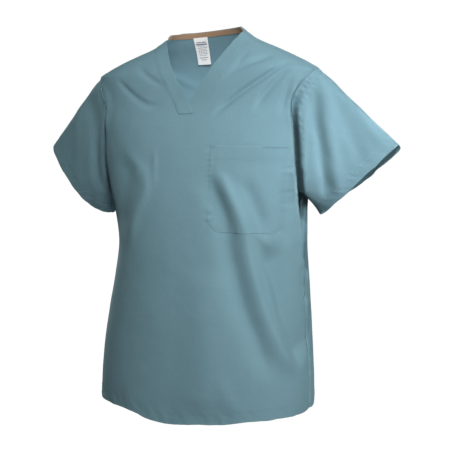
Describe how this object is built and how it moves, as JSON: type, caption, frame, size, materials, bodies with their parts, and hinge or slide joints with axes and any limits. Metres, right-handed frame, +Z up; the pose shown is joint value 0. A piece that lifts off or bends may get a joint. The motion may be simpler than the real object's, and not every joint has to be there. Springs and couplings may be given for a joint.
{
  "type": "scrub top",
  "caption": "Short-sleeved V-neck scrub top with a chest pocket, held hollow and filled out as when worn, open at neck, sleeves and hem.",
  "frame": {"origin": "midway between the two neck points, where the neck edge meets the shoulder seams, which is where the wearer's shoulders hold the top", "axes": "+Z up, -Y out of the front, +X to the wearer's left"},
  "size_m": [0.7202, 0.2815, 0.7185],
  "materials": {
    "front_cloth": "matt woven poplin",
    "back_cloth": "matt woven poplin",
    "sleeve_left_cloth": "matt woven poplin",
    "sleeve_right_cloth": "matt woven poplin",
    "band_cloth": "matt woven poplin, folded double",
    "pocket_cloth": "matt woven poplin",
    "tape_cloth": "matt twill tape",
    "label_cloth": "matt woven ribbon, printed"
  },
  "bodies": {
    "root": {"front_panel": "front_cloth", "back_panel": "back_cloth", "sleeve_left": "sleeve_left_cloth", "sleeve_right": "sleeve_right_cloth", "neck_band": "band_cloth", "chest_pocket": "pocket_cloth", "neck_tape": "tape_cloth", "care_label": "label_cloth"}
  },
  "joints": []
}
